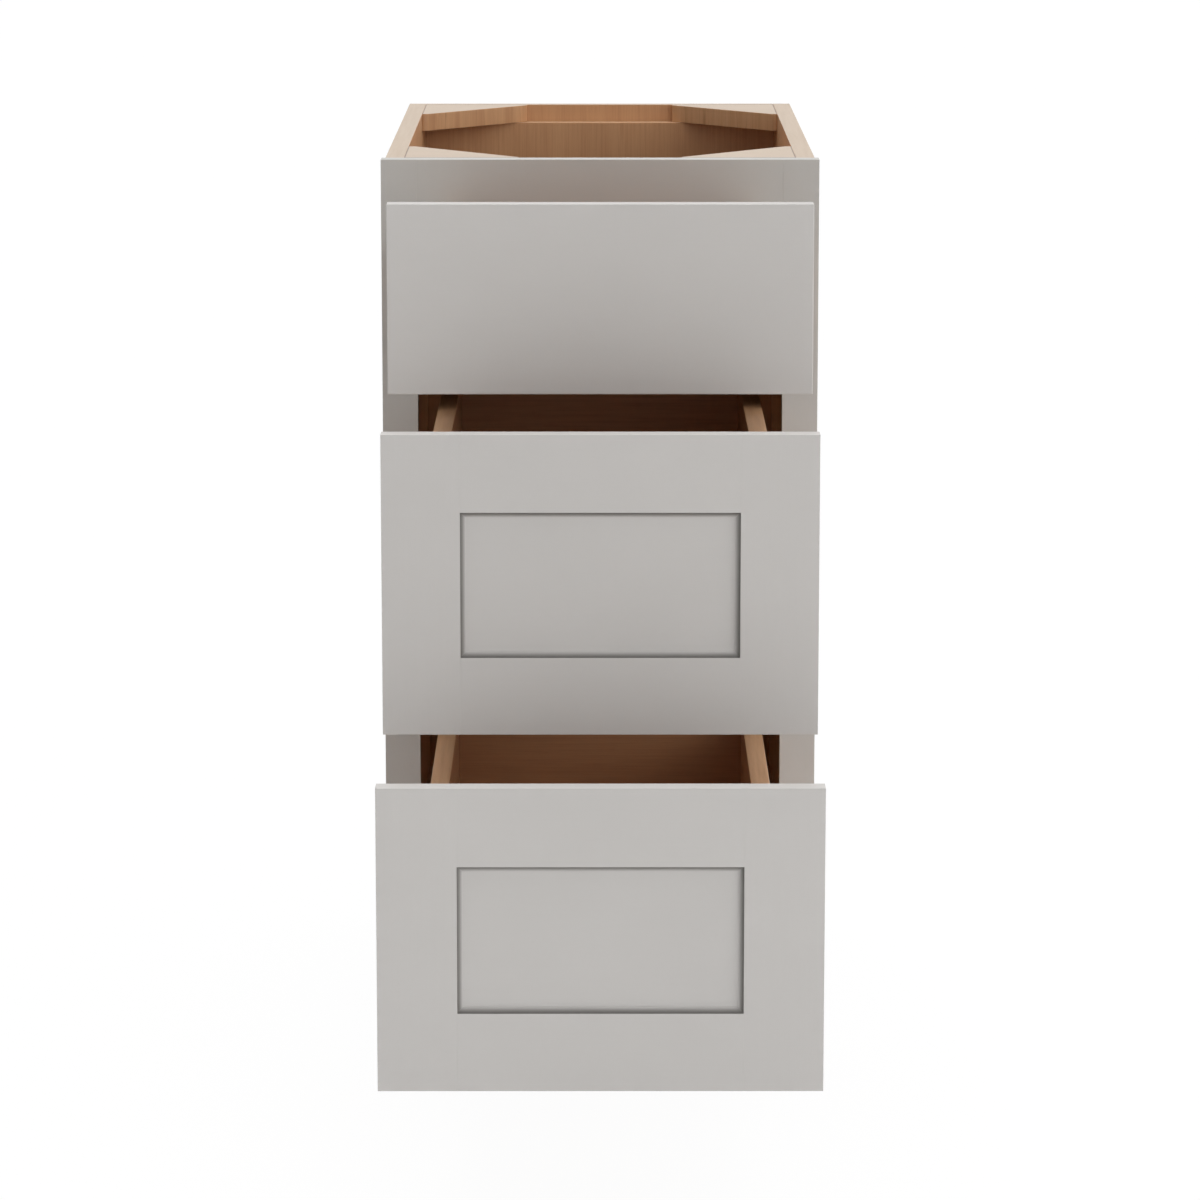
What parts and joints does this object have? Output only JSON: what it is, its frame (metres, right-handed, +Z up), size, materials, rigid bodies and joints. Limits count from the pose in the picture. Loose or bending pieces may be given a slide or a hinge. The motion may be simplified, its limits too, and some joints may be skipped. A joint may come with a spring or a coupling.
{
  "type": "drawer base cabinet",
  "caption": "Floor-standing kitchen base cabinet with a painted face frame and dovetailed drawers that slide out on full-extension undermount runners.",
  "frame": {"origin": "on the floor, in the middle of the bounding box at rest, with the drawers standing open", "axes": "+X to the right as seen from the front, +Y back to the wall, +Z up; drawers open along -Y"},
  "size_m": [0.406, 1.111, 0.876],
  "materials": {
    "paint": "satin warm grey paint on hardwood",
    "side_board": "clear finish on veneered plywood",
    "inside_board": "clear finish on plywood",
    "drawer_wood": "clear finish on solid hardwood",
    "runner_steel": "zinc-plated sheet steel",
    "catch_plastic": "moulded grey plastic",
    "bumper_rubber": "soft clear rubber"
  },
  "bodies": {
    "carcass": {"side_panel_left": "side_board", "side_panel_right": "side_board", "cabinet_floor": "inside_board", "back_panel": "inside_board", "hanging_rail": "inside_board", "toe_board": "paint", "stile_left": "paint", "stile_right": "paint", "top_rail": "paint", "upper_mid_rail": "paint", "lower_mid_rail": "paint", "bottom_rail": "paint", "brace_front_left": "inside_board", "brace_front_right": "inside_board", "brace_rear_left": "inside_board", "brace_rear_right": "inside_board", "packers_left": "inside_board", "packers_right": "inside_board", "low_runner_rails": "runner_steel", "mid_runner_rails": "runner_steel", "top_runner_rails": "runner_steel"},
    "low_beams": {"low_runner_beams": "runner_steel"},
    "mid_beams": {"mid_runner_beams": "runner_steel"},
    "top_beams": {"top_runner_beams": "runner_steel"},
    "low_drawer": {"low_front_stile_left": "paint", "low_front_stile_right": "paint", "low_front_top_rail": "paint", "low_front_bottom_rail": "paint", "low_front_panel": "paint", "low_box_left": "drawer_wood", "low_box_right": "drawer_wood", "low_box_front": "drawer_wood", "low_box_back": "drawer_wood", "low_box_floor": "drawer_wood", "low_runner_channels": "runner_steel", "low_catches": "catch_plastic", "low_bumpers": "bumper_rubber"},
    "mid_drawer": {"mid_front_stile_left": "paint", "mid_front_stile_right": "paint", "mid_front_top_rail": "paint", "mid_front_bottom_rail": "paint", "mid_front_panel": "paint", "mid_box_left": "drawer_wood", "mid_box_right": "drawer_wood", "mid_box_front": "drawer_wood", "mid_box_back": "drawer_wood", "mid_box_floor": "drawer_wood", "mid_runner_channels": "runner_steel", "mid_catches": "catch_plastic", "mid_bumpers": "bumper_rubber"},
    "top_drawer": {"top_front": "paint", "top_box_left": "drawer_wood", "top_box_right": "drawer_wood", "top_box_front": "drawer_wood", "top_box_back": "drawer_wood", "top_box_floor": "drawer_wood", "top_runner_channels": "runner_steel", "top_catches": "catch_plastic", "top_bumpers": "bumper_rubber"}
  },
  "joints": [
    {"name": "low_drawer_slide", "type": "slide", "parent": "carcass", "child": "low_drawer", "axis": [0, -1, 0], "range_m": [-0.48, 0.05]},
    {"name": "mid_drawer_slide", "type": "slide", "parent": "carcass", "child": "mid_drawer", "axis": [0, -1, 0], "range_m": [-0.328, 0.202]},
    {"name": "top_drawer_slide", "type": "slide", "parent": "carcass", "child": "top_drawer", "axis": [0, -1, 0], "range_m": [-0.176, 0.354]},
    {"name": "low_beam_slide", "type": "slide", "parent": "carcass", "child": "low_beams", "axis": [0, -1, 0], "range_m": [-0.24, 0.025]},
    {"name": "mid_beam_slide", "type": "slide", "parent": "carcass", "child": "mid_beams", "axis": [0, -1, 0], "range_m": [-0.164, 0.101]},
    {"name": "top_beam_slide", "type": "slide", "parent": "carcass", "child": "top_beams", "axis": [0, -1, 0], "range_m": [-0.088, 0.177]}
  ],
  "couplings": [
    {"joint": "low_beam_slide", "follows": "low_drawer_slide", "ratio": 0.5},
    {"joint": "mid_beam_slide", "follows": "mid_drawer_slide", "ratio": 0.5},
    {"joint": "top_beam_slide", "follows": "top_drawer_slide", "ratio": 0.5}
  ]
}
